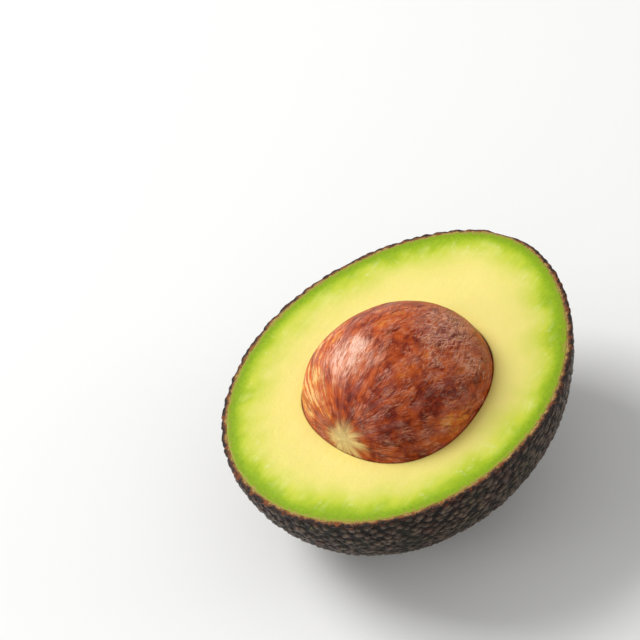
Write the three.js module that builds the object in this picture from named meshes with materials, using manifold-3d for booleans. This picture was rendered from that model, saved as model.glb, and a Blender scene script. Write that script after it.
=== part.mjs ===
// Half of an avocado with its seed, lying on its round back with the cut face up.
// Millimetres, +Z up, +X towards the stem end. The origin is under the middle of the half,
// in the plane of the small flat spot that it rests on.
//
// The fruit is made whole in its own frame, where z = 0 is the plane of the cut and +x is the stem end.
// Then a knife and a table take away what is above the cut and below the flat spot, and the group is
// tipped to the way that the half lies. Shapes are given by unit directions from the fruit's middle.
import * as THREE from "three";
import { ConvexHull } from "three/addons/math/ConvexHull.js";
import { mergeVertices } from "three/addons/utils/BufferGeometryUtils.js";
import Module from "manifold-3d";

const wasm = await Module();
wasm.setup();

// The flesh, without its skin
const FLESH_HALF_LENGTH = 46.2;
const FLESH_HALF_WIDTH = 37.4;
const FLESH_DEPTH = 33.6;
// How the girth changes from the blossom end (x = -1) to the stem end (x = +1), by powers of x
const GIRTH_TAPER = -0.061;
const GIRTH_BARREL = -0.053;
const GIRTH_NECK = -0.063;
// How far the middle line bends sideways
const FLESH_BEND = 0.41;

// The skin. Its pebbles are a third larger than life, so that each one keeps a round form in few faces.
const SKIN_THICKNESS = 1.1;
const SKIN_GAP = 0.3;
const PEBBLE_SPACING = 4.6;
const PEBBLE_HEIGHT = 0.85;
const PEBBLE_HEIGHT_SPREAD = 0.45;
const PEBBLE_JITTER = 0.2;
// Where a pebble's shoulder stands between its peak and the valley, and its share of the height
const SHOULDER_PLACE = 0.58;
const SHOULDER_HEIGHT = 0.74;

// The small round scar where the stem broke off, just below the cut
const STEM_SCAR_DIRECTION = new THREE.Vector3(1, 0.03, -0.12).normalize();
const STEM_SCAR_RADIUS = 4.0;
const STEM_SCAR_DEPTH = 1.0;
// The pebbles begin and reach their full height at these distances from the scar's middle
const SCAR_PEBBLES_START = 2.5;
const SCAR_PEBBLES_FULL = 6.5;

// The seed: an egg with its narrow end to the stem, its widest part a little below the cut
const SEED_HALF_LENGTH = 23.1;
const SEED_RADIUS = 21.2;
const SEED_EGG = -0.126;
const SEED_CENTRE = new THREE.Vector3(-3.8, -2.3, -2.35);
// Its lumps: wider than deep, four soft corners, the twist of those corners, and three soft sides
const SEED_WIDE = 0.5;
const SEED_CORNERS = -0.26;
const SEED_TWIST = 0.88;
const SEED_SIDES = -0.29;
const SEED_GAP = 0.4;

// How the half lies: the stem end is a little up and the +Y side a little down
const STEM_END_UP = THREE.MathUtils.degToRad(4.0);
const SIDE_DOWN = THREE.MathUtils.degToRad(5.8);
// The flat spot is cut this far above the lowest point, and has no pebbles on it or close round it
const FLAT_SPOT_DEPTH = 0.5;
const SPOT_PEBBLES_START = 9.5;
const SPOT_PEBBLES_FULL = 15;

// How finely the shapes are made
const SMOOTH_POINTS = 760;
const PROBE_POINTS = 8000;
const SEED_SEGMENTS = 38;
const SEED_RINGS = 22;
const WELD_DISTANCE = 1e-4;
const BLOCK = 200;
const RANDOM_SEED = 20417;

// A seeded random number from 0 to 1 (mulberry32)
function randomSource(seed) {
  let state = seed >>> 0;
  return () => {
    state = (state + 0x6d2b79f5) >>> 0;
    let t = state;
    t = Math.imul(t ^ (t >>> 15), t | 1);
    t ^= t + Math.imul(t ^ (t >>> 7), t | 61);
    return ((t ^ (t >>> 14)) >>> 0) / 4294967296;
  };
}

// The flesh's outer surface in a direction, moved outwards by offset
function fruitPoint(direction, offset) {
  const { x, y, z } = direction;
  const girth = 1 + GIRTH_TAPER * x + GIRTH_BARREL * x ** 2 + GIRTH_NECK * x ** 3;
  return new THREE.Vector3(
    (FLESH_HALF_LENGTH + offset) * x,
    (FLESH_HALF_WIDTH * girth + offset) * y + FLESH_BEND * (x ** 2 - 1 / 3),
    (FLESH_DEPTH * girth + offset) * z,
  );
}

// Directions spread evenly over the sphere in a golden-angle spiral, each moved by a share of their spacing
function spreadDirections(count, jitter) {
  const random = randomSource(RANDOM_SEED);
  const reach = jitter * Math.sqrt((4 * Math.PI) / count);
  const shift = () => (2 * random() - 1) * reach;
  const goldenAngle = Math.PI * (3 - Math.sqrt(5));
  return Array.from({ length: count }, (_, i) => {
    const z = 1 - (2 * i + 1) / count;
    const ring = Math.sqrt(1 - z * z);
    const x = ring * Math.cos(i * goldenAngle);
    const y = ring * Math.sin(i * goldenAngle);
    return new THREE.Vector3(x + shift(), y + shift(), z + shift()).normalize();
  });
}

// The triangles between directions on the unit sphere, facing out, as index triples
function sphereTriangles(directions) {
  const indexOf = new Map(directions.map((d, i) => [d, i]));
  const hull = new ConvexHull().setFromPoints(directions);
  return hull.faces.map((face) => {
    const corners = [];
    let edge = face.edge;
    do {
      corners.push(indexOf.get(edge.head().point));
      edge = edge.next;
    } while (edge !== face.edge);
    return corners;
  });
}

function geometryOf(points, triangles) {
  const geometry = new THREE.BufferGeometry().setFromPoints(points);
  return geometry.setIndex(triangles.flat());
}

// The whole fruit with a smooth surface
function smoothFruit(offset) {
  const directions = spreadDirections(SMOOTH_POINTS, 0);
  const points = directions.map((d) => fruitPoint(d, offset));
  return geometryOf(points, sphereTriangles(directions));
}

// How the half lies, as a turn from the fruit's frame, and back
const lie = new THREE.Euler(-SIDE_DOWN, -STEM_END_UP, 0, "YXZ");
const backToFruit = new THREE.Matrix4().makeRotationFromEuler(lie).transpose();
const up = new THREE.Vector3(0, 0, 1).applyMatrix4(backToFruit);

// The lowest point of the skin before the table flattens it, and how high the table stands
const restPoint = spreadDirections(PROBE_POINTS, 0)
  .map((direction) => fruitPoint(direction, SKIN_THICKNESS))
  .reduce((low, point) => (point.dot(up) < low.dot(up) ? point : low));
const tableHeight = restPoint.dot(up) + FLAT_SPOT_DEPTH;
const scarPoint = fruitPoint(STEM_SCAR_DIRECTION, SKIN_THICKNESS);

// How much of a pebble's height a place on the skin gets: none by the flat spot or in the stem scar
function pebbleShare(point) {
  const { smoothstep } = THREE.MathUtils;
  const bySpot = smoothstep(point.distanceTo(restPoint), SPOT_PEBBLES_START, SPOT_PEBBLES_FULL);
  const byScar = smoothstep(point.distanceTo(scarPoint), SCAR_PEBBLES_START, SCAR_PEBBLES_FULL);
  return bySpot * byScar;
}

function stemScarDip(point) {
  return STEM_SCAR_DEPTH * Math.exp(-((point.distanceTo(scarPoint) / STEM_SCAR_RADIUS) ** 2));
}

// The whole fruit's outside. Each pebble is a round dome: a peak, a ring of shoulder points about it, and
// the valley points that it shares with its neighbours, in the middles of the triangles between peaks.
function pebbledFruit() {
  const area = 4 * Math.PI * Math.pow(FLESH_HALF_LENGTH * FLESH_HALF_WIDTH * FLESH_DEPTH, 2 / 3);
  const count = Math.round(area / (PEBBLE_SPACING * PEBBLE_SPACING * Math.sin(Math.PI / 3)));
  const peaks = spreadDirections(count, PEBBLE_JITTER);
  const random = randomSource(RANDOM_SEED + 1);
  const heights = peaks.map(() => PEBBLE_HEIGHT * (1 - PEBBLE_HEIGHT_SPREAD * random()));

  const points = [];
  const addPoint = (direction, height) => {
    const smooth = fruitPoint(direction, SKIN_THICKNESS);
    const rise = height * pebbleShare(smooth) - stemScarDip(smooth);
    return points.push(fruitPoint(direction, SKIN_THICKNESS + rise)) - 1;
  };
  const peakIndex = peaks.map((peak, i) => addPoint(peak, heights[i]));

  // For each edge from peak a to peak b, the valley on its left and a's shoulder towards that valley
  const leftOf = new Map();
  for (const corners of sphereTriangles(peaks)) {
    const middle = new THREE.Vector3();
    corners.forEach((i) => middle.add(peaks[i]));
    middle.normalize();
    const valley = addPoint(middle, 0);
    const shoulder = corners.map((i) =>
      addPoint(peaks[i].clone().lerp(middle, SHOULDER_PLACE).normalize(), SHOULDER_HEIGHT * heights[i]),
    );
    corners.forEach((a, i) => {
      const b = corners[(i + 1) % 3];
      leftOf.set(a + "," + b, { a, b, valley, fromA: shoulder[i], fromB: shoulder[(i + 1) % 3] });
    });
  }

  const faces = [];
  for (const { a, b, valley, fromA } of leftOf.values()) {
    const right = leftOf.get(b + "," + a);
    faces.push([peakIndex[a], right.fromB, fromA]);
    faces.push([right.fromB, right.valley, valley]);
    faces.push([right.fromB, valley, fromA]);
  }
  return geometryOf(points, faces);
}

// How far the seed's lumps raise its surface in a direction
function seedLump({ x, y, z }) {
  const corners = x ** 4 - 6 * x ** 2 * y ** 2 + y ** 4;
  const sides = 3 * x ** 2 * y - y ** 3;
  const twist = x ** 3 * y - x * y ** 3;
  return SEED_WIDE * (y ** 2 - z ** 2) + SEED_CORNERS * corners + SEED_TWIST * twist + SEED_SIDES * sides;
}

// The seed, or with a gap the hollow that it leaves
function seedShape(gap) {
  const geometry = new THREE.SphereGeometry(1, SEED_SEGMENTS, SEED_RINGS);
  geometry.rotateZ(-Math.PI / 2);
  const position = geometry.getAttribute("position");
  const direction = new THREE.Vector3();
  for (let i = 0; i < position.count; i++) {
    direction.fromBufferAttribute(position, i);
    const proud = gap + seedLump(direction);
    const radius = SEED_RADIUS * (1 + SEED_EGG * direction.x) + proud;
    const scale = new THREE.Vector3(SEED_HALF_LENGTH + proud, radius, radius);
    position.setXYZ(i, ...direction.multiply(scale).add(SEED_CENTRE));
  }
  return geometry;
}

// A closed geometry as a solid that can be cut, and a solid as a geometry again
function solidOf(geometry) {
  const bare = geometry.clone().deleteAttribute("normal").deleteAttribute("uv");
  const merged = mergeVertices(bare, WELD_DISTANCE);
  return new wasm.Manifold(
    new wasm.Mesh({
      numProp: 3,
      vertProperties: new Float32Array(merged.getAttribute("position").array),
      triVerts: new Uint32Array(merged.index.array),
    }),
  );
}

function geometryFrom(solid) {
  const { vertProperties, triVerts } = solid.getMesh();
  const geometry = new THREE.BufferGeometry();
  geometry.setAttribute("position", new THREE.BufferAttribute(vertProperties, 3));
  geometry.setIndex(new THREE.BufferAttribute(triVerts, 1));
  geometry.computeVertexNormals();
  return geometry;
}

// What the knife takes away: everything above the cut
function knifeBlock() {
  return solidOf(new THREE.BoxGeometry(BLOCK, BLOCK, BLOCK).translate(0, 0, BLOCK / 2));
}

// What the table flattens: everything below the flat spot
function tableBlock() {
  const geometry = new THREE.BoxGeometry(BLOCK, BLOCK, BLOCK).translate(0, 0, -BLOCK / 2);
  geometry.applyMatrix4(backToFruit);
  geometry.translate(...up.clone().multiplyScalar(tableHeight));
  return solidOf(geometry);
}

function skinGeometry() {
  const shell = solidOf(pebbledFruit()).subtract(solidOf(smoothFruit(0)));
  return geometryFrom(shell.subtract(knifeBlock()).subtract(tableBlock()));
}

function fleshGeometry() {
  const body = solidOf(smoothFruit(-SKIN_GAP)).subtract(knifeBlock());
  return geometryFrom(body.subtract(solidOf(seedShape(SEED_GAP))));
}

function seedGeometry() {
  return geometryFrom(solidOf(seedShape(0)));
}

const materials = {
  skin: new THREE.MeshStandardMaterial({ color: 0x2e2a20, roughness: 0.42, metalness: 0 }),
  flesh: new THREE.MeshStandardMaterial({ color: 0xe3dc6c, roughness: 0.45, metalness: 0 }),
  seed: new THREE.MeshStandardMaterial({ color: 0x8a4524, roughness: 0.4, metalness: 0 }),
};

function named(name, geometry, material) {
  const mesh = new THREE.Mesh(geometry, material);
  mesh.name = name;
  return mesh;
}

const half = new THREE.Group();
half.add(
  named("skin", skinGeometry(), materials.skin),
  named("flesh", fleshGeometry(), materials.flesh),
  named("seed", seedGeometry(), materials.seed),
);
half.rotation.copy(lie);
const box = new THREE.Box3().setFromObject(half, true);
const middle = box.getCenter(new THREE.Vector3());
half.position.set(-middle.x, -middle.y, -tableHeight);

const avocado = new THREE.Group();
avocado.add(half);
export default avocado;
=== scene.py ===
import math

import bpy
import numpy as np
from mathutils import Matrix, Vector, kdtree, noise


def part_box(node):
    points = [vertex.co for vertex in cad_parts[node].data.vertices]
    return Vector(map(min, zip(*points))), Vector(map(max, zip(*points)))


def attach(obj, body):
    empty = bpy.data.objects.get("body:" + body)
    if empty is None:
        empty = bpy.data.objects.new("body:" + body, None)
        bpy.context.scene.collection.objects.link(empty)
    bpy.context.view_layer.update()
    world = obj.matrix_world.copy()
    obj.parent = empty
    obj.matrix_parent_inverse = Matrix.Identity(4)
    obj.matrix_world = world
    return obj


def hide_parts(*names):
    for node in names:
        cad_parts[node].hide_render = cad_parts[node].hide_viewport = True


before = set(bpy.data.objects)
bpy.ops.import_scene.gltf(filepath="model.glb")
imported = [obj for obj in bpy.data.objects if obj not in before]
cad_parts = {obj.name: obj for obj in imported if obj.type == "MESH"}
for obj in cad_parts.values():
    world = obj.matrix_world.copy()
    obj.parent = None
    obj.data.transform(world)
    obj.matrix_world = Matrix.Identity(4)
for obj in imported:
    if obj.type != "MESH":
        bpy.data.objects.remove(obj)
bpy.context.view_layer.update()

# The flesh, without its skin
FLESH_HALF_LENGTH = 46.2
FLESH_HALF_WIDTH = 37.4
FLESH_DEPTH = 33.6
GIRTH_TAPER = -0.061
GIRTH_BARREL = -0.053
GIRTH_NECK = -0.063
FLESH_BEND = 0.41
# It stays this far inside the skin
FLESH_INSET = 0.03
# The cut face drops a little against the skin
RIM_DROP = 0.04
RIM_DROP_WIDTH = 0.25
# Its waves, each as (height, size, shift of the noise), start fully this far from the skin
FACE_WAVES = ((0.07, 11, 0), (0.035, 4.5, 3), (0.012, 0.7, 17))
FACE_WAVES_FROM_RIM = 0.8
# The faint lines that the blade drew along the fruit
BLADE_LINE_HEIGHT = 0.025
BLADE_LINE_SIZE = (14, 1.2, 1)

# The skin, its pebbles at their real size
SKIN_THICKNESS = 1.1
PEBBLE_SPACING = 1.9
PEBBLE_HEIGHT = 0.55
PEBBLE_LEAST_SHARE = 0.6
PEBBLE_JITTER = 0.38
# A dome reaches its foot at this share of the spacing, and PEBBLE_JOIN is how sharply domes join
PEBBLE_REACH = 0.58
PEBBLE_JOIN = 12
PEBBLE_STRETCH = (0.75, 1, 1)
# Fine wrinkles form a raised net over the pebbles, and the whole skin swells and sinks a little
WRINKLE_SIZE = 0.9
WRINKLE_HEIGHT = 0.06
SWELL_SIZE = 9
SWELL_HEIGHT = 0.1
SKIN_INSET = 0.16
# Near the stem the pebbles are drawn out into ridges that run to it, within this angle in radians
STEM_DRAW = 0.36
STEM_END_LOWER = 0.2
STEM_SCAR_DIRECTION = (1, 0.03, -0.12)
STEM_SCAR_RADIUS = 4.0
STEM_SCAR_DEPTH = 0.65
SCAR_PEBBLES_START = 2.5
SCAR_PEBBLES_FULL = 6.5
# The cut edge of the skin starts this far below the cut, and is rounded at its outer corner
EDGE_START = 0.4
EDGE_ROUNDING = 0.16
EDGE_RAGGED = 0.12

# The seed
SEED_HALF_LENGTH = 23.1
SEED_RADIUS = 21.2
SEED_EGG = -0.126
SEED_CENTRE = (-3.8, -2.3, -2.35)
SEED_WIDE = 0.5
SEED_CORNERS = -0.26
SEED_TWIST = 0.88
SEED_SIDES = -0.29
SEED_CLEARANCE = 0.1
# Its dents, each as (height, size, shift of the noise), and the ridges along its fibres
SEED_DENTS = ((0.16, 7.5, 0), (0.035, 2.6, 4), (0.01, 0.5, 8))
SEED_RIDGE_HEIGHT = 0.04
SEED_RIDGE_SIZE = 1.3
SEED_RIDGE_STRETCH = 9
# The seed's relief fades in between these heights over the plane of the cut
SEED_RELIEF_START = -0.5
SEED_RELIEF_FULL = 2.5
# The pale spot where the seed's fibres meet, as a direction from its centre
SEED_POLE = (-0.96, 0.03, 0.27)
# The hollow stands this far from the seed: least on the side of the light, most across from it
HOLLOW_GAP = 0.02
HOLLOW_GAP_FAR = 0.14
HOLLOW_FAR_SIDE = math.radians(-60)
HOLLOW_LIP = 0.25
# Patches of the seed's coat: the direction of each from the seed's centre, and its reach in radians
AMBER_PATCHES = (
    ((-0.27, -0.4, 0.87), 0.12),
    ((0.1, 0.2, 0.97), 0.2),
    ((-0.74, 0.36, 0.57), 0.28),
    ((-0.31, -0.92, 0.24), 0.24),
    ((0.03, -0.59, 0.81), 0.13),
    ((-0.12, 0.48, 0.87), 0.14),
    ((-0.85, -0.51, 0.16), 0.12),
    ((0.55, -0.8, 0.2), 0.12),
    ((0.6, 0.7, 0.3), 0.4),
    ((0.5, -0.3, -0.8), 0.5),
)
PLUM_PATCHES = (
    ((-0.82, 0.02, 0.57), 0.18),
    ((-0.81, -0.41, 0.42), 0.24),
    ((-0.22, -0.75, 0.62), 0.26),
    ((0.04, 0.32, 0.95), 0.16),
    ((0.9, 0.1, -0.4), 0.45),
    ((-0.4, 0.6, -0.7), 0.4),
)
DUSTY_PATCHES = (
    ((0.43, -0.47, 0.77), 0.34),
    ((0.26, -0.83, 0.5), 0.14),
    ((0.0, -0.62, 0.78), 0.09),
)
# The pale patch is a painted highlight, where the key light falls on the seed
PAINTED_HIGHLIGHT_PATCHES = (((-0.42, 0.2, 0.89), 0.28),)
POLE_PATCHES = (((-0.968, -0.01, 0.2), 0.23),)
STRIPED_PATCHES = (((-0.62, 0.66, 0.42), 0.42), ((-0.2, 0.76, 0.6), 0.32))

# How the half lies, and its flat spot
STEM_END_UP = math.radians(4.0)
SIDE_DOWN = math.radians(5.8)
FLAT_SPOT_DEPTH = 0.5
FLAT_SPOT_SOFTNESS = 0.06
SPOT_PEBBLES_START = 9.5
SPOT_PEBBLES_FULL = 15

# The photograph's camera, in the row frame
CAMERA_AZIMUTH = math.radians(-50.06)
CAMERA_ELEVATION = math.radians(45.82)
CAMERA_ROLL = math.radians(-7.3)
CAMERA_DISTANCE = 646.8
CAMERA_LENS = 157.5
CAMERA_AIM = (-2.6, 20.3, 43.2)

MM = 0.001
RANDOM_SEED = 20417
# Rings of points start this far from the bottom, in radians
FIRST_RING = 0.012
# Points that are spread over a surface to find its lowest point or its size
LOW_POINT_PROBES = 8000
SIZE_PROBES = 20000

# Settings that many nodes share: a product, and a soft step between two values
TIMES = {"operation": "MULTIPLY"}
SMOOTH = {"interpolation_type": "SMOOTHSTEP"}


def fruit_points(directions, offset):
    """The flesh's outer surface in each unit direction, moved outwards by offset."""
    x, y, z = directions.T
    girth = 1 + GIRTH_TAPER * x + GIRTH_BARREL * x**2 + GIRTH_NECK * x**3
    return np.stack(
        [
            (FLESH_HALF_LENGTH + offset) * x,
            (FLESH_HALF_WIDTH * girth + offset) * y + FLESH_BEND * (x**2 - 1 / 3),
            (FLESH_DEPTH * girth + offset) * z,
        ],
        axis=-1,
    )


def seed_points(directions, gap):
    """The seed's surface in each unit direction from its centre, moved outwards by gap."""
    x, y, z = directions.T
    corners = x**4 - 6 * x**2 * y**2 + y**4
    sides = 3 * x**2 * y - y**3
    twist = x**3 * y - x * y**3
    lump = SEED_WIDE * (y**2 - z**2) + SEED_CORNERS * corners + SEED_TWIST * twist + SEED_SIDES * sides
    radius = SEED_RADIUS * (1 + SEED_EGG * x) + gap + lump
    along = (SEED_HALF_LENGTH + gap + lump) * x
    return np.stack([along, radius * y, radius * z], axis=-1) + SEED_CENTRE


def unit(vectors):
    return vectors / np.linalg.norm(vectors, axis=-1, keepdims=True)


def spread_directions(count):
    """Unit directions spread evenly in a golden-angle spiral."""
    i = np.arange(count)
    z = 1 - (2 * i + 1) / count
    ring = np.sqrt(1 - z**2)
    angle = i * math.pi * (3 - math.sqrt(5))
    return unit(np.stack([ring * np.cos(angle), ring * np.sin(angle), z], axis=-1))


def smoothstep(values, low, high):
    t = np.clip((values - low) / (high - low), 0, 1)
    return t * t * (3 - 2 * t)


# How the half lies
lie_array = np.array(Matrix.Rotation(-STEM_END_UP, 3, "Y") @ Matrix.Rotation(-SIDE_DOWN, 3, "X"))
up = lie_array[2]
probe = fruit_points(spread_directions(LOW_POINT_PROBES), SKIN_THICKNESS)
rest_point = probe[np.argmin(probe @ up)]
table_height = rest_point @ up + FLAT_SPOT_DEPTH
scar_point = fruit_points(unit(np.array([STEM_SCAR_DIRECTION])), SKIN_THICKNESS)[0]


def shift_to_row():
    """From the turned fruit's frame to the row frame, in millimetres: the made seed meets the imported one."""
    made = seed_points(spread_directions(SIZE_PROBES), 0) @ lie_array.T
    low, high = (np.array(corner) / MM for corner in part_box("seed"))
    return (low + high) / 2 - (made.min(0) + made.max(0)) / 2


row_shift = shift_to_row()


def place(points):
    return (points @ lie_array.T + row_shift) * MM


def noise_at(points, size, shift=0.0):
    """Smooth noise from -1 to 1 at each point, with lumps of about this size."""
    return np.array([noise.noise(Vector(p) / size + Vector((shift, 0, 0))) for p in points])


def layered_noise(points, layers):
    """The sum of layers of noise, each as (height, size, shift)."""
    return sum(height * noise_at(points, size, shift) for height, size, shift in layers)


def nearest_tree(points):
    tree = kdtree.KDTree(len(points))
    for i, point in enumerate(points):
        tree.insert(point, i)
    tree.balance()
    return tree


def ring_body(name, rings):
    """A closed body from rings of points, one after another, each end closed to the middle of its ring."""
    count, columns, _ = rings.shape
    points = np.concatenate([rings.reshape(-1, 3), rings[[0, -1]].mean(1)])
    here = np.arange(columns)
    after = np.roll(here, -1)
    start = np.arange(count - 1)[:, None] * columns
    corners = [start + here, start + after, start + columns + after, start + columns + here]
    quads = np.stack(corners, axis=-1).reshape(-1, 4)
    first = np.stack([after, here, np.full(columns, count * columns)], axis=-1)
    last = (count - 1) * columns
    end = np.stack([last + here, last + after, np.full(columns, count * columns + 1)], axis=-1)
    mesh = bpy.data.meshes.new(name)
    mesh.from_pydata(place(points).tolist(), [], quads.tolist() + first.tolist() + end.tolist())
    mesh.shade_smooth()
    piece = bpy.data.objects.new(name, mesh)
    bpy.context.collection.objects.link(piece)
    return piece


def ring_values(piece, name, values, first=0, last=0):
    """A value for each point of a ring body, and for its first and last end, for its material to read."""
    flat = np.concatenate([values.reshape(-1), [first, last]]).astype(np.float32)
    piece.data.attributes.new(name, "FLOAT", "POINT").data.foreach_set("value", flat)


def round_turn(columns):
    return np.arange(columns) * 2 * math.pi / columns


def directions_down(angles, columns):
    """Rings of directions at these angles up from straight down, in radians, with this many round each."""
    turn = round_turn(columns)
    across = np.sin(angles)[:, None]
    down = -np.cos(angles)[:, None] * np.ones(columns)
    return np.stack([across * np.cos(turn), across * np.sin(turn), down], axis=-1)


# The skin


def drawn_out(directions):
    """Directions moved away from the stem, so that a pattern read there comes out drawn towards the stem."""
    x = directions[:, 0]
    side = np.linalg.norm(directions[:, 1:], axis=1)
    angle = np.arctan2(side, x)
    moved = np.sqrt(angle**2 + STEM_DRAW**2 * smoothstep(x, 0, 0.8))
    share = np.sin(moved) / np.maximum(side, 1e-6)
    return np.stack([np.cos(moved), directions[:, 1] * share, directions[:, 2] * share], axis=-1)


def pebbles_at(places):
    """Rounded pebbles of uneven height at places on the fruit, from 0 in the creases to 1 on the highest."""
    random = np.random.default_rng(RANDOM_SEED)
    area = 4 * math.pi * (FLESH_HALF_LENGTH * FLESH_HALF_WIDTH * FLESH_DEPTH) ** (2 / 3)
    count = round(area / (PEBBLE_SPACING**2 * math.sin(math.pi / 3)))
    even = spread_directions(count)
    moved = even + random.uniform(-1, 1, even.shape) * PEBBLE_JITTER * math.sqrt(4 * math.pi / count)
    peaks = fruit_points(unit(moved), SKIN_THICKNESS) * PEBBLE_STRETCH
    height = random.uniform(PEBBLE_LEAST_SHARE, 1.0, count)
    tree = nearest_tree(peaks)
    found = [tree.find_n(p, 3) for p in places]
    index = np.array([[entry[1] for entry in row] for row in found])
    reach = np.array([[entry[2] for entry in row] for row in found]) / PEBBLE_SPACING
    domes = height[index] - (reach / PEBBLE_REACH) ** 2
    # Neighbours run together with a soft crease
    return np.clip(np.log(np.exp(PEBBLE_JOIN * domes).sum(1)) / PEBBLE_JOIN, 0, 1)


def wrinkle_net(points, size):
    """Thin ridges that join into a net with meshes of about this size, from 0 to 1."""
    return smoothstep(np.abs(noise_at(points, size)), 0.34, 0.02)


def skin_rise(directions):
    """The skin's rise in millimetres, how raised it is from 0 to 1, and the scar's share."""
    smooth = fruit_points(directions, SKIN_THICKNESS)
    from_spot = np.linalg.norm(smooth - rest_point, axis=1)
    from_scar = np.linalg.norm(smooth - scar_point, axis=1)
    share = smoothstep(from_spot, SPOT_PEBBLES_START, SPOT_PEBBLES_FULL)
    share = share * smoothstep(from_scar, SCAR_PEBBLES_START, SCAR_PEBBLES_FULL)
    drawn = fruit_points(drawn_out(directions), SKIN_THICKNESS) * PEBBLE_STRETCH
    pebbles = pebbles_at(drawn)
    net = 0.75 * wrinkle_net(drawn, WRINKLE_SIZE) + 0.25 * wrinkle_net(drawn + 50, WRINKLE_SIZE / 2)
    rise = (PEBBLE_HEIGHT * pebbles + SWELL_HEIGHT * noise_at(smooth, SWELL_SIZE)) * share
    rise = rise + WRINKLE_HEIGHT * net * (0.25 + 0.75 * share)
    rise = rise - STEM_SCAR_DEPTH * np.exp(-((from_scar / STEM_SCAR_RADIUS) ** 2))
    # The whole skin lies a little low, and lower still at the stem end
    rise = rise - SKIN_INSET - STEM_END_LOWER * smoothstep(directions[:, 0], 0.8, 1)
    raised = (0.85 * pebbles + 0.15 * net) * (0.3 + 0.7 * share)
    ragged_reach = from_scar + 0.5 * noise_at(smooth, 1.1)
    scar = smoothstep(ragged_reach, STEM_SCAR_RADIUS * 0.62, STEM_SCAR_RADIUS * 0.5)
    return rise, raised, scar


def rest_on_table(points):
    """Points below the flat spot's plane come up to it, with a soft turn at the spot's edge."""
    high = points @ up - table_height
    lifted = (high + np.sqrt(high**2 + FLAT_SPOT_SOFTNESS**2)) / 2
    return points + (lifted - high)[..., None] * up


def make_skin():
    columns, outer_rings, inner_rings, edge_rings = 900, 210, 24, 9
    outer_angles = np.linspace(FIRST_RING, math.pi / 2, outer_rings)
    directions = directions_down(outer_angles, columns)
    flat_directions = directions.reshape(-1, 3)
    rise, raised, scar = skin_rise(flat_directions)
    smooth = fruit_points(flat_directions, 0)
    outward = fruit_points(flat_directions, 1) - smooth
    outer = rest_on_table(smooth + outward * (SKIN_THICKNESS + rise)[:, None])
    outer = outer.reshape(outer_rings, columns, 3)

    # The cut edge, from the outside to the inside, a little ragged and rounded at its outer corner
    across = np.linspace(0, 1, edge_rings)[:, None]
    line = outer[-1] * (1 - across[..., None]) + fruit_points(directions[-1], 0) * across[..., None]
    ragged = np.stack([noise_at(r, 0.9) + 0.6 * noise_at(r, 0.35, 5) for r in line])
    line[..., 2] -= EDGE_ROUNDING * (1 - across) ** 4 + EDGE_RAGGED * (0.5 + 0.5 * ragged)

    inner_angles = np.linspace(math.pi / 2 - 0.01, FIRST_RING, inner_rings)
    inner_directions = directions_down(inner_angles, columns)
    inner = fruit_points(inner_directions.reshape(-1, 3), 0).reshape(inner_rings, columns, 3)

    keep = outer[:, 0, 2] < -EDGE_START
    skin = ring_body("skin_peel", np.concatenate([outer[keep], line, inner]))
    # Below the cut this value is the depth in millimetres, and then 0 to 1 through the edge
    below = np.maximum(outer[keep][..., 2], -5)
    depth = np.concatenate([below, across * np.ones(columns), np.ones((inner_rings, columns))])
    ring_values(skin, "across_cut", depth, -5, 1)
    rest = np.zeros((edge_rings + inner_rings, columns))
    for name, values in (("raised", raised), ("scar", scar)):
        ring_values(skin, name, np.concatenate([values.reshape(outer_rings, columns)[keep], rest]))
    # Faces from the first edge ring to the last one are the cut, and the rest after it is the inside
    kept = int(keep.sum())
    face_ring = np.repeat(np.arange(kept + edge_rings + inner_rings - 1), columns)
    index = np.zeros(len(skin.data.polygons), np.int32)
    index[: len(face_ring)] = face_ring >= kept - 1
    index[-columns:] = 1
    skin.data.polygons.foreach_set("material_index", index)
    return skin


# The flesh


def distance_to_line(points, line):
    """The distance of each point from a closed line of close points, in the plane of the cut."""
    flat = np.array([1, 1, 0])
    tree = nearest_tree(line * flat)
    return np.array([tree.find(p)[2] for p in points * flat])


def face_relief(points):
    """The soft waves and small dents that a knife leaves on the cut face, in millimetres."""
    lines = BLADE_LINE_HEIGHT * noise_at(points / np.array(BLADE_LINE_SIZE), 1, 9)
    return layered_noise(points, FACE_WAVES) + lines


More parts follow.
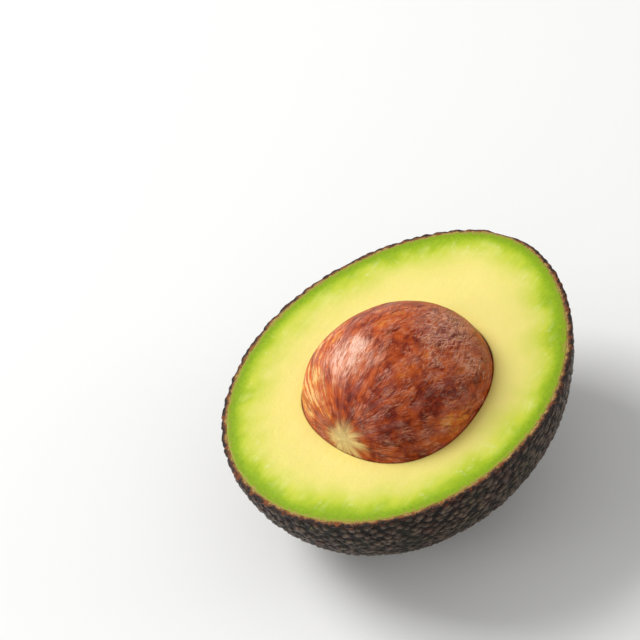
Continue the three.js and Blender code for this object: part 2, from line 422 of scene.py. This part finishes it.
def make_flesh():
    columns, wall_rings, face_rings, hollow_rings = 720, 30, 110, 46
    wall_angles = np.linspace(FIRST_RING, math.pi / 2 - 0.004, wall_rings)
    wall = fruit_points(directions_down(wall_angles, columns).reshape(-1, 3), -FLESH_INSET)
    wall = wall.reshape(wall_rings, columns, 3)

    turn = round_turn(columns)
    flat = np.stack([np.cos(turn), np.sin(turn), np.zeros(columns)], axis=-1)
    gap = HOLLOW_GAP + (HOLLOW_GAP_FAR - HOLLOW_GAP) * (0.5 + 0.5 * np.cos(turn - HOLLOW_FAR_SIDE)) ** 2

    def hollow_line(angle):
        """A ring of the hollow at this angle up from the seed's widest line."""
        ring = unit(flat * math.cos(angle) + np.array([0, 0, math.sin(angle)]))
        return seed_points(ring, gap)

    # The hollow's mouth: where the seed's surface, moved out by the gap, crosses the cut
    lift = math.asin(-SEED_CENTRE[2] / (SEED_RADIUS + HOLLOW_GAP))
    mouth_line = hollow_line(lift)

    t = np.linspace(0, 1, face_rings)[:, None, None]
    face = fruit_points(flat, -FLESH_INSET) * (1 - t) + mouth_line * t
    face[..., 2] = 0
    points = face.reshape(-1, 3)
    rim_distance = distance_to_line(points, fruit_points(flat, 0)).reshape(face_rings, columns)
    mouth_distance = distance_to_line(points, mouth_line).reshape(face_rings, columns)
    relief = face_relief(points).reshape(face_rings, columns)
    relief = relief * smoothstep(rim_distance, 0, FACE_WAVES_FROM_RIM)
    lip = HOLLOW_LIP * np.maximum(0, 1 - mouth_distance / HOLLOW_LIP) ** 2 / 2
    edge = RIM_DROP * np.maximum(0, 1 - rim_distance / RIM_DROP_WIDTH) ** 2
    face[..., 2] = relief - lip - edge

    steps = np.linspace(lift - 0.02, FIRST_RING - math.pi / 2, hollow_rings)
    hollow = np.stack([hollow_line(angle) for angle in steps])
    # Its rings stay under the mouth, which the lip has lowered
    hollow[..., 2] = np.minimum(hollow[..., 2], face[-1, :, 2] - 0.02)

    flesh = ring_body("flesh_half", np.concatenate([wall, face, hollow]))
    # Out of sight, the hollow counts as far from the rim, and the wall as far from the mouth
    deep = rim_distance[-1] + np.linspace(0, 10, hollow_rings)[:, None]
    from_rim = np.concatenate([np.zeros((wall_rings, columns)), rim_distance, deep])
    ring_values(flesh, "rim_distance", from_rim, 0, 20)
    wall_values = np.full((wall_rings, columns), 40)
    from_mouth = np.concatenate([wall_values, mouth_distance, np.zeros((hollow_rings, columns))])
    ring_values(flesh, "mouth_distance", from_mouth, 40, 0)
    return flesh


# The seed


def patches(directions, wobble, spots):
    """How far each direction lies inside one of the patches, from 0 to 1, with edges moved by the wobble."""
    share = np.zeros(len(directions))
    for centre, reach in spots:
        angle = np.arccos(np.clip(directions @ unit(np.array([centre]))[0], -1, 1))
        share = np.maximum(share, smoothstep(angle / reach + wobble, 1.5, 0.3))
    return share


def fibre_coordinates(directions):
    """Coordinates in millimetres, z along the fibres from the pale pole, and the angle from that pole."""
    pole = unit(np.array([SEED_POLE]))[0]
    sideways = unit(np.cross(pole, [0, 0, 1])[None])[0]
    upward = np.cross(sideways, pole)
    away = np.arccos(np.clip(directions @ pole, -1, 1))
    around = np.arctan2(directions @ upward, directions @ sideways)
    return SEED_RADIUS * np.stack([np.cos(around), np.sin(around), away], axis=-1), away


def make_seed():
    columns, rings, first_ring = 420, 240, 0.006
    angles = np.linspace(first_ring, math.pi - first_ring, rings)
    turn = round_turn(columns)
    side = np.sin(angles)[:, None]
    along = -np.cos(angles)[:, None] * np.ones(columns)
    directions = np.stack([along, side * np.cos(turn), side * np.sin(turn)], axis=-1).reshape(-1, 3)
    points = seed_points(directions, 0)
    grain, away = fibre_coordinates(directions)

    ridges = SEED_RIDGE_HEIGHT * noise_at(grain / np.array([1, 1, SEED_RIDGE_STRETCH]), SEED_RIDGE_SIZE)
    relief = layered_noise(points, SEED_DENTS) + ridges * np.sin(away)
    # The relief fades out towards the hollow, where the seed keeps clear of the flesh
    in_view = smoothstep(points[:, 2], SEED_RELIEF_START, SEED_RELIEF_FULL)
    relief = in_view * (relief - SEED_CLEARANCE / 2) - SEED_CLEARANCE
    moved = points + (seed_points(directions, 1) - points) * relief[:, None]

    seed = ring_body("seed_stone", moved.reshape(rings, columns, 3))
    ends = grain.reshape(rings, columns, 3)[[0, -1]].mean(1)
    values = np.concatenate([grain, ends]).astype(np.float32).ravel()
    seed.data.attributes.new("fibre_grain", "FLOAT_VECTOR", "POINT").data.foreach_set("vector", values)
    # Patches have edges that fray along the fibres, and only the pole's is soft all round
    frayed = 0.5 * noise_at(grain / np.array([1, 1, 2.5]), 2.4, 12) + 0.3 * noise_at(points, 5, 21)
    soft = 0.25 * noise_at(moved, 4, 21)
    for name, spots, edge in (
        ("amber", AMBER_PATCHES, frayed),
        ("plum", PLUM_PATCHES, frayed),
        ("dusty", DUSTY_PATCHES, frayed),
        ("pale", PAINTED_HIGHLIGHT_PATCHES, frayed),
        ("striped", STRIPED_PATCHES, frayed),
        ("pole", POLE_PATCHES, soft),
    ):
        ring_values(seed, name, patches(directions, edge, spots))
    return seed


# Materials


def colour(hex_value):
    """An sRGB hex colour as linear red, green, blue and alpha."""
    parts = [int(hex_value[i : i + 2], 16) / 255 for i in (1, 3, 5)]
    linear = [c / 12.92 if c <= 0.04045 else ((c + 0.055) / 1.055) ** 2.4 for c in parts]
    return (*linear, 1)


def add(tree, kind, inputs=(), stops=(), output=0, **settings):
    """Adds a node and gives back one of its outputs.

    Its inputs are values, hex colours or other outputs, in the order of its sockets or by name or number.
    A colour ramp has stops as (place, hex colour).
    """
    made = tree.nodes.new("ShaderNode" + kind)
    for name, value in settings.items():
        setattr(made, name, value)
    for i, (where, hex_value) in enumerate(stops):
        elements = made.color_ramp.elements
        element = elements[i] if i < 2 else elements.new(where)
        element.position = where
        element.color = colour(hex_value)
    for name, value in inputs.items() if isinstance(inputs, dict) else enumerate(inputs):
        socket = made.inputs[name]
        if isinstance(value, bpy.types.NodeSocket):
            tree.links.new(value, socket)
        else:
            socket.default_value = colour(value) if isinstance(value, str) else value
    return made.outputs[output] if made.outputs else None


def lay_over(tree, ground, *coats):
    """Lays coats over a ground, one after another, each as (share from 0 to 1, colour)."""
    for share, coat in coats:
        ground = add(tree, "Mix", {0: share, 6: ground, 7: coat}, data_type="RGBA", output=2)
    return ground


def new_material(name):
    material = bpy.data.materials.new(name)
    material.use_nodes = True
    tree = material.node_tree
    tree.nodes.clear()
    return material, tree


def millimetres(tree):
    """The place on the object in millimetres: a noise there with scale 1 / 7 has lumps of about 7."""
    metres = add(tree, "TexCoord", output="Object")
    return add(tree, "VectorMath", {0: metres, 3: 1 / MM}, operation="SCALE")


def finish_surface(tree, inputs, relief, depth):
    """The Principled surface, with relief as a height in millimetres times depth."""
    normal = add(tree, "Bump", {"Height": relief, "Distance": depth * MM, "Strength": 1.0})
    surface = add(tree, "BsdfPrincipled", {**inputs, "Normal": normal})
    add(tree, "OutputMaterial", {"Surface": surface})


def waxy_peel():
    """Ripe pebbled peel, grown with a thin wax: creases painted nearly black as shade, pebbles brown with a
    low gloss and painted highlights on their tops.
    """
    material, tree = new_material("waxy_peel")
    here = millimetres(tree)
    raised = add(tree, "Attribute", attribute_name="raised", output="Fac")
    across = add(tree, "Attribute", attribute_name="across_cut", output="Fac")
    blotch = add(tree, "TexNoise", {"Vector": here, "Scale": 1 / 7, "Detail": 3})
    grit = add(tree, "TexNoise", {"Vector": here, "Scale": 1 / 0.4, "Detail": 3})
    fine = add(tree, "TexNoise", {"Vector": here, "Scale": 1 / 2, "Detail": 2.5, "Distortion": 0.3})
    # Small pits about a millimetre apart, drawn out along the fruit, with a net of ridges between them
    swirl = add(tree, "TexNoise", {"Vector": here, "Scale": 1 / 1.8}, output="Color")
    bent = add(tree, "VectorMath", (swirl, (0.8, 0.8, 0.8), here), operation="MULTIPLY_ADD")
    drawn = add(tree, "VectorMath", (bent, (0.55, 1, 1)), **TIMES)
    pits = add(tree, "TexVoronoi", {"Vector": drawn, "Scale": 1 / 0.95}, feature="DISTANCE_TO_EDGE")
    net = add(tree, "MapRange", (pits, 0.17, 0.02), **SMOOTH)
    # From the creases, painted dark as shade, to the lighter tops of the pebbles, with painted highlights in
    # short pale lines
    gritty = add(tree, "MapRange", (grit, 0.25, 0.75, -0.16, 0.16), **SMOOTH)
    stops = [(0.1, "#0b0504"), (0.34, "#2a1b12"), (0.62, "#49382b"), (0.95, "#705b49")]
    ground = add(tree, "ValToRGB", (add(tree, "Math", (raised, gritty)),), stops)
    highlight_tops = add(tree, "MapRange", (raised, 0.4, 0.9), **SMOOTH)
    lines = add(tree, "MapRange", (fine, 0.44, 0.62, 0.0, 0.3), **SMOOTH)
    # The skin is thinner and redder just under the cut
    under_cut = add(tree, "MapRange", (across, -2.2, -0.3), **SMOOTH)
    under_cut = add(tree, "Math", (under_cut, fine), **TIMES)
    # Pores show as small green specks, in some places only
    pore_place = add(tree, "TexVoronoi", {"Vector": here, "Scale": 1 / 2.4})
    pores = add(tree, "MapRange", (pore_place, 0.1, 0.05), **SMOOTH)
    pore_choice = add(tree, "MapRange", (blotch, 0.54, 0.46), **SMOOTH)
    cork_grain = add(tree, "MapRange", (grit, 0.35, 0.65), **SMOOTH)
    peel = lay_over(
        tree,
        ground,
        # Painted shade darkens the middles of the pits
        (add(tree, "MapRange", (pits, 0.15, 0.4, 0.0, 0.25), **SMOOTH), "#0c0605"),
        # Painted highlights in short pale lines on the pebbles' tops
        (add(tree, "Math", (highlight_tops, lines), **TIMES), "#a28b76"),
        (add(tree, "MapRange", (blotch, 0.52, 0.4, 0.0, 0.35), **SMOOTH), "#2c2c16"),
        (add(tree, "MapRange", (blotch, 0.56, 0.68, 0.0, 0.35), **SMOOTH), "#512a20"),
        (add(tree, "MapRange", (under_cut, 0.42, 0.6, 0.0, 0.8), **SMOOTH), "#8a3c1a"),
        (add(tree, "Math", (pores, pore_choice), **TIMES), "#80823a"),
        (
            add(tree, "Attribute", attribute_name="scar", output="Fac"),
            lay_over(tree, "#5d4028", (cork_grain, "#a0805a")),
        ),
    )
    inputs = {
        "Base Color": peel,
        "Roughness": add(tree, "MapRange", (raised, 0.1, 0.7, 0.5, 0.3), **SMOOTH),
        "IOR": 1.45,
        "Specular IOR Level": 0.25,
    }
    finish_surface(tree, inputs, add(tree, "Math", (grit, 0.5, net), operation="MULTIPLY_ADD"), 0.2)
    return material


def cut_peel():
    """The cut through the peel: corky and dull, dark outside, with tan and green grit against the flesh."""
    material, tree = new_material("cut_peel")
    here = millimetres(tree)
    grit = add(tree, "TexNoise", {"Vector": here, "Scale": 1 / 0.35, "Detail": 3, "Roughness": 0.7})
    patch = add(tree, "TexNoise", {"Vector": here, "Scale": 1 / 1.8, "Detail": 4, "Roughness": 0.65})
    teeth = add(tree, "TexNoise", {"Vector": here, "Scale": 1 / 1.5, "Detail": 4, "Roughness": 0.7})
    # Its layers run into each other in fine grit and coarser teeth
    across = add(tree, "Attribute", attribute_name="across_cut", output="Fac")
    for field, reach in ((grit, 0.15), (teeth, 0.3)):
        shift = add(tree, "MapRange", (field, 0.3, 0.7, -reach, reach), **SMOOTH)
        across = add(tree, "Math", (across, shift))
    stops = [(0.3, "#24160f"), (0.5, "#5c3a20"), (0.7, "#8a5d2e"), (0.9, "#ab8346"), (1.0, "#b9a055")]
    layers = add(tree, "ValToRGB", (across,), stops)
    russet = add(tree, "MapRange", (patch, 0.53, 0.64, 0.0, 0.75), **SMOOTH)
    inputs = {
        "Base Color": lay_over(tree, layers, (russet, "#8e481a")),
        "Roughness": add(tree, "MapRange", (grit, 0.3, 0.7, 0.42, 0.62), **SMOOTH),
        "IOR": 1.45,
        "Specular IOR Level": 0.35,
    }
    finish_surface(tree, inputs, grit, 0.25)
    return material


def ripe_flesh():
    """Ripe buttery flesh, cut by a knife: yellow by the seed, green under the peel, moist and soft."""
    material, tree = new_material("ripe_flesh")
    here = millimetres(tree)
    rim = add(tree, "Attribute", attribute_name="rim_distance", output="Fac")
    mouth = add(tree, "Attribute", attribute_name="mouth_distance", output="Fac")
    slow = add(tree, "TexNoise", {"Vector": here, "Scale": 1 / 9})
    mottle = add(tree, "TexNoise", {"Vector": here, "Scale": 1 / 1.5, "Detail": 4, "Roughness": 0.6})
    teeth = add(tree, "TexNoise", {"Vector": here, "Scale": 1 / 0.9, "Detail": 3, "Roughness": 0.6})
    grit = add(tree, "TexNoise", {"Vector": here, "Scale": 1 / 0.4})
    # The knife drew the cut along the fruit
    along = add(tree, "VectorMath", (here, (0.12, 1, 1)), **TIMES)
    drag = add(tree, "TexNoise", {"Vector": along, "Scale": 1 / 0.9, "Detail": 3, "Roughness": 0.6})
    # The green reaches further in at some places than at others, and is toothed against the skin
    reach = rim
    for field, shift in ((slow, 1.3), (drag, 0.3)):
        reach = add(tree, "Math", (reach, add(tree, "MapRange", (field, 0.3, 0.7, shift, -shift), **SMOOTH)))
    edge = add(tree, "Math", (rim, add(tree, "MapRange", (teeth, 0.3, 0.7, -0.6, 0.6), **SMOOTH)))
    off_edge = add(tree, "MapRange", (rim, 0.8, 4), **SMOOTH)
    depth = add(tree, "Mix", {0: off_edge, 2: edge, 3: reach})
    # The ramp covers the first 20 millimetres from the rim
    base = add(
        tree,
        "ValToRGB",
        (add(tree, "Math", (depth, 1 / 20), **TIMES),),
        stops=[
            (0.0, "#a39440"),
            (0.014, "#95a026"),
            (0.04, "#84a20e"),
            (0.09, "#8fb00c"),
            (0.15, "#a8c01c"),
            (0.24, "#c6d140"),
            (0.36, "#dad964"),
            (0.52, "#eadf7b"),
            (0.8, "#f3e386"),
        ],
    )
    # Pale and warm clouds and bruised streaks in the band where the green fades
    inside = add(tree, "MapRange", (rim, 1.5, 4), **SMOOTH)
    band = add(tree, "Math", (inside, add(tree, "MapRange", (rim, 10, 6), **SMOOTH)), **TIMES)
    longer = add(tree, "VectorMath", (here, (0.6, 1, 1)), **TIMES)
    cloud = add(tree, "TexNoise", {"Vector": longer, "Scale": 1 / 3, "Detail": 4})
    pale_cloud = add(tree, "MapRange", (cloud, 0.5, 0.7, 0.0, 0.16), **SMOOTH)
    warm_cloud = add(tree, "MapRange", (cloud, 0.46, 0.34, 0.0, 0.16), **SMOOTH)
    drag_streak = add(tree, "MapRange", (drag, 0.55, 0.8, 0.0, 0.2), **SMOOTH)
    mottled = add(tree, "MapRange", (mottle, 0.56, 0.75, 0.0, 0.35), **SMOOTH)
    streak = add(tree, "Math", (drag_streak, mottled))
    places = add(tree, "TexNoise", {"Vector": here, "Scale": 1 / 6})
    here_and_there = add(tree, "MapRange", (places, 0.42, 0.62), **SMOOTH)
    bruised = add(tree, "Math", (band, here_and_there), **TIMES)
    face = lay_over(
        tree,
        base,
        (add(tree, "Math", (band, pale_cloud), **TIMES), "#eef0a6"),
        (add(tree, "Math", (band, warm_cloud), **TIMES), "#dddc3c"),
        (add(tree, "Math", (bruised, streak), **TIMES), "#f4f2c4"),
        # Round the seed the flesh turns warmer, and brown-olive in a thin line against it
        (add(tree, "MapRange", (mouth, 4.0, 0.0, 0.0, 0.3), **SMOOTH), "#ecd06a"),
        (add(tree, "MapRange", (mouth, 0.45, 0.0, 0.0, 0.45), **SMOOTH), "#a8853c"),
    )
    inputs = {
        "Base Color": face,
        "Roughness": add(tree, "MapRange", (grit, 0.3, 0.7, 0.36, 0.5), **SMOOTH),
        "IOR": 1.44,
        "Specular IOR Level": 0.3,
        "Subsurface Weight": 0.2,
        "Subsurface Radius": (1.0, 0.8, 0.25),
        "Subsurface Scale": 1.6 * MM,
    }
    finish_surface(tree, inputs, add(tree, "Math", (grit, 0.4, mottle), operation="MULTIPLY_ADD"), 0.08)
    return material


def seed_coat():
    """The seed's thin dried coat: red-brown with amber and plum patches, felted fibres, a pale pole and a
    painted highlight.
    """
    material, tree = new_material("seed_coat")
    here = millimetres(tree)
    names = ("amber", "plum", "striped", "dusty", "pale", "pole")
    share = {name: add(tree, "Attribute", attribute_name=name, output="Fac") for name in names}
    grain = add(tree, "Attribute", attribute_name="fibre_grain", output="Vector")
    away = add(tree, "SeparateXYZ", (grain,), output=2)
    # The fibres wander by a few millimetres, and each pattern is stretched along them
    drift = add(tree, "TexNoise", {"Vector": here, "Scale": 1 / 6, "Detail": 1}, output="Color")
    wavy = add(tree, "VectorMath", (drift, (3, 3, 3), grain), operation="MULTIPLY_ADD")
    short, thread, ray, stripes = (
        add(tree, "VectorMath", (wavy, (1, 1, squeeze)), **TIMES) for squeeze in (0.4, 0.14, 0.12, 0.1)
    )
    stripe = add(tree, "TexNoise", {"Vector": stripes, "Scale": 1 / 1.5, "Detail": 3, "Roughness": 0.6})
    broad = add(tree, "TexNoise", {"Vector": short, "Scale": 1 / 4.5, "Detail": 4, "Roughness": 0.6})
    mauve = add(tree, "TexNoise", {"Vector": short, "Scale": 1 / 3.2, "Detail": 4, "Roughness": 0.6})
    streaky = add(tree, "TexNoise", {"Vector": thread, "Scale": 1 / 0.8, "Detail": 4, "Roughness": 0.65})
    fray = add(tree, "TexNoise", {"Vector": ray, "Scale": 1 / 7, "Detail": 6, "Roughness": 0.65})
    hazy = add(tree, "TexNoise", {"Vector": here, "Scale": 1 / 3.5, "Detail": 3, "Roughness": 0.6})
    small_lumps = {"Scale": 1 / 2.4, "Detail": 4, "Roughness": 0.65, "Distortion": 0.4}
    small = add(tree, "TexNoise", {"Vector": here, **small_lumps})

    # From plum through red-brown and amber to gold
    depth = add(tree, "MapRange", (broad, 0.25, 0.75, 0.34, 0.64), **SMOOTH)
    depth = add(tree, "Math", (depth, add(tree, "MapRange", (small, 0.3, 0.7, -0.15, 0.15), **SMOOTH)))
    lifts = [(share[name], lift) for name, lift in (("amber", 0.17), ("plum", -0.15), ("dusty", -0.08))]
    stripe_lift = add(tree, "MapRange", (stripe, 0.32, 0.68, -0.24, 0.24), **SMOOTH)
    lifts.append((share["striped"], add(tree, "Math", (stripe_lift, 0.24))))
    for patch, lift in lifts:
        depth = add(tree, "Math", (patch, lift, depth), operation="MULTIPLY_ADD")
    coat = add(
        tree,
        "ValToRGB",
        (depth,),
        stops=[
            (0.2, "#5c1509"),
            (0.35, "#85290e"),
            (0.5, "#b14817"),
            (0.66, "#c85c22"),
            (0.82, "#da8438"),
            (0.98, "#f4c078"),
        ],
    )

    # Mauve bands where the coat is thicker, dusty wear, and a painted highlight in pale pink streaks where the
    # key light falls
    wear = add(tree, "MapRange", (stripe, 0.3, 0.7, 0.4, 1.5), **SMOOTH)
    worn = add(tree, "Math", (share["dusty"], wear), **TIMES)
    thin = add(tree, "MapRange", (streaky, 0.36, 0.64, 0.35, 1.4), **SMOOTH)
    painted_highlight = add(tree, "Math", (share["pale"], thin), **TIMES)
    painted_highlight = add(tree, "MapRange", (painted_highlight, 0.0, 1.3), **SMOOTH)
    coat = lay_over(
        tree,
        coat,
        (add(tree, "MapRange", (mauve, 0.47, 0.65, 0.0, 0.55), **SMOOTH), "#9a5148"),
        (add(tree, "MapRange", (worn, 0.1, 1.1, 0.0, 0.28), **SMOOTH), "#c98a6c"),
        (add(tree, "Math", (painted_highlight, 0.62), **TIMES), "#f6bfa0"),
    )

    # Felted fibres run from the pole, turned a little one way or the other, thicker where it is dusty and in
    # the painted highlight, where they are painted paler
    haze = add(tree, "MapRange", (hazy, 0.42, 0.62, 0.02, 0.32), **SMOOTH)
    dust_and_highlight = add(tree, "Math", (share["dusty"], share["pale"]))
    felted = add(tree, "Math", (dust_and_highlight, 0.5, haze), operation="MULTIPLY_ADD")
    off_pole = add(tree, "MapRange", (share["pole"], 0.5, 0.0), **SMOOTH)
    felted = add(tree, "Math", (felted, off_pole), **TIMES)
    off_highlight_and_pole = add(tree, "MapRange", (painted_highlight, 0.0, 0.6, 1.0, 0.3), **SMOOTH)
    off_highlight_and_pole = add(tree, "Math", (off_pole, off_highlight_and_pole), **TIMES)
    felt = stripe
    for twist, width, squeeze, light in (
        (0.018, 1.0, 0.15, "#e6a88e"),
        (-0.022, 0.85, 0.18, "#eeb9a2"),
        (0.003, 1.1, 0.1, "#e09160"),
    ):
        angle = add(tree, "Math", (away, twist), **TIMES)
        turned = add(tree, "VectorRotate", {"Vector": wavy, "Angle": angle}, rotation_type="Z_AXIS")
        squeezed = add(tree, "VectorMath", (turned, (1, 1, squeeze)), **TIMES)
        field = add(tree, "TexNoise", {"Vector": squeezed, "Scale": 1 / width, "Detail": 2.5})
        # A fibre is a thin line along the middle of the noise, and a dark line is where the noise is low
        off_middle = add(tree, "Math", (field, 0.5), operation="SUBTRACT")
        off_middle = add(tree, "Math", (off_middle,), operation="ABSOLUTE")
        fibre = add(tree, "MapRange", (off_middle, 0.05, 0.0), **SMOOTH)
        dark = add(tree, "MapRange", (field, 0.44, 0.3, 0.0, 0.45), **SMOOTH)
        coat = lay_over(
            tree,
            coat,
            (add(tree, "Math", (dark, off_highlight_and_pole), **TIMES), "#5e1607"),
            (add(tree, "Math", (fibre, felted), **TIMES), lay_over(tree, light, (painted_highlight, "#fbd2bc"))),
        )
        felt = add(tree, "Math", (felt, fibre))

    # The pale pole frays out into streaks of uneven length
    outwards = add(tree, "MapRange", (away, 1.0, 6.0), **SMOOTH)
    inner = add(tree, "MapRange", (small, 0.3, 0.7, 0.8, 1.2), **SMOOTH)
    outer = add(tree, "MapRange", (fray, 0.34, 0.66, 0.1, 1.9), **SMOOTH)
    frayed = add(tree, "Mix", {0: outwards, 2: inner, 3: outer})
    pole = add(tree, "Math", (share["pole"], frayed), **TIMES)
    threads = add(tree, "MapRange", (streaky, 0.62, 0.38), **SMOOTH)
    threads = add(tree, "Math", (threads, outwards), **TIMES)
    cream = lay_over(tree, "#f6dd96", (threads, "#efce82"))
    pole = add(tree, "MapRange", (pole, 0.0, 1.25, 0.0, 0.95), **SMOOTH)
    inputs = {
        "Base Color": lay_over(tree, coat, (pole, cream)),
        "Roughness": add(tree, "MapRange", (small, 0.3, 0.7, 0.38, 0.52), **SMOOTH),
        "IOR": 1.46,
        "Specular IOR Level": 0.15,
    }
    finish_surface(tree, inputs, add(tree, "Math", (felt, 0.4, small), operation="MULTIPLY_ADD"), 0.07)
    return material


def pale_floor():
    """Matt white paper."""
    material, tree = new_material("pale_floor")
    surface = add(tree, "BsdfPrincipled", {"Base Color": "#f4f4f2", "Roughness": 0.8})
    add(tree, "OutputMaterial", {"Surface": surface})
    return material


# The stage


def make_floor():
    mesh = bpy.data.meshes.new("floor")
    half = 3.0
    corners = [(-half, -half, 0), (half, -half, 0), (half, half, 0), (-half, half, 0)]
    mesh.from_pydata(corners, [], [(0, 1, 2, 3)])
    floor = bpy.data.objects.new("floor", mesh)
    bpy.context.collection.objects.link(floor)
    floor.data.materials.append(pale_floor())


def camera_axes():
    """The camera's right, up and back directions in the row frame."""
    a, e = CAMERA_AZIMUTH, CAMERA_ELEVATION
    back = Vector((math.sin(a) * math.cos(e), -math.cos(a) * math.cos(e), math.sin(e)))
    level = Vector((math.cos(a), math.sin(a), 0))
    right = Matrix.Rotation(CAMERA_ROLL, 3, back) @ level
    return right, back.cross(right), back


def make_camera():
    right, above, back = camera_axes()
    camera = bpy.data.objects.new("camera", bpy.data.cameras.new("camera"))
    camera.data.lens = CAMERA_LENS
    camera.data.sensor_width = 36
    camera.data.clip_start = 0.01
    turn = Matrix((right, above, back)).transposed().to_4x4()
    spot = (Vector(CAMERA_AIM) + back * CAMERA_DISTANCE) * MM
    camera.matrix_world = Matrix.Translation(spot) @ turn
    bpy.context.collection.objects.link(camera)
    bpy.context.scene.camera = camera


def soft_box(name, spot, size, power):
    """A square soft box that looks at the half."""
    light = bpy.data.lights.new(name, "AREA")
    light.shape = "SQUARE"
    light.size = size
    light.energy = power
    box = bpy.data.objects.new(name, light)
    aim = Vector((0, 0, 0.03))
    box.location = spot
    box.rotation_euler = (spot - aim).to_track_quat("Z", "Y").to_euler()
    bpy.context.collection.objects.link(box)


def make_lights():
    right, above, back = camera_axes()
    soft_box("key", back * 0.45 + above * 1.05 - right * 1.1, size=0.8, power=19.3)
    soft_box("reflector", Vector((0.75, -1.0, 0.42)), size=0.5, power=2.0)
    soft_box("fill", Vector((-0.93, 0.79, 0.29)), size=0.5, power=3.5)
    world = bpy.data.worlds.new("studio")
    world.use_nodes = True
    background = world.node_tree.nodes["Background"]
    background.inputs["Color"].default_value = (1, 1, 1, 1)
    background.inputs["Strength"].default_value = 0.46
    bpy.context.scene.world = world
    # Plain colours, as a catalogue photograph shows them
    bpy.context.scene.view_settings.view_transform = "Standard"


def main():
    make_camera()
    skin = make_skin()
    flesh = make_flesh()
    seed = make_seed()
    skin.data.materials.append(waxy_peel())
    skin.data.materials.append(cut_peel())
    flesh.data.materials.append(ripe_flesh())
    seed.data.materials.append(seed_coat())
    for piece, node in ((skin, "skin"), (flesh, "flesh"), (seed, "seed")):
        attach(piece, "root")
        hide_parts(node)
    make_floor()
    make_lights()


main()
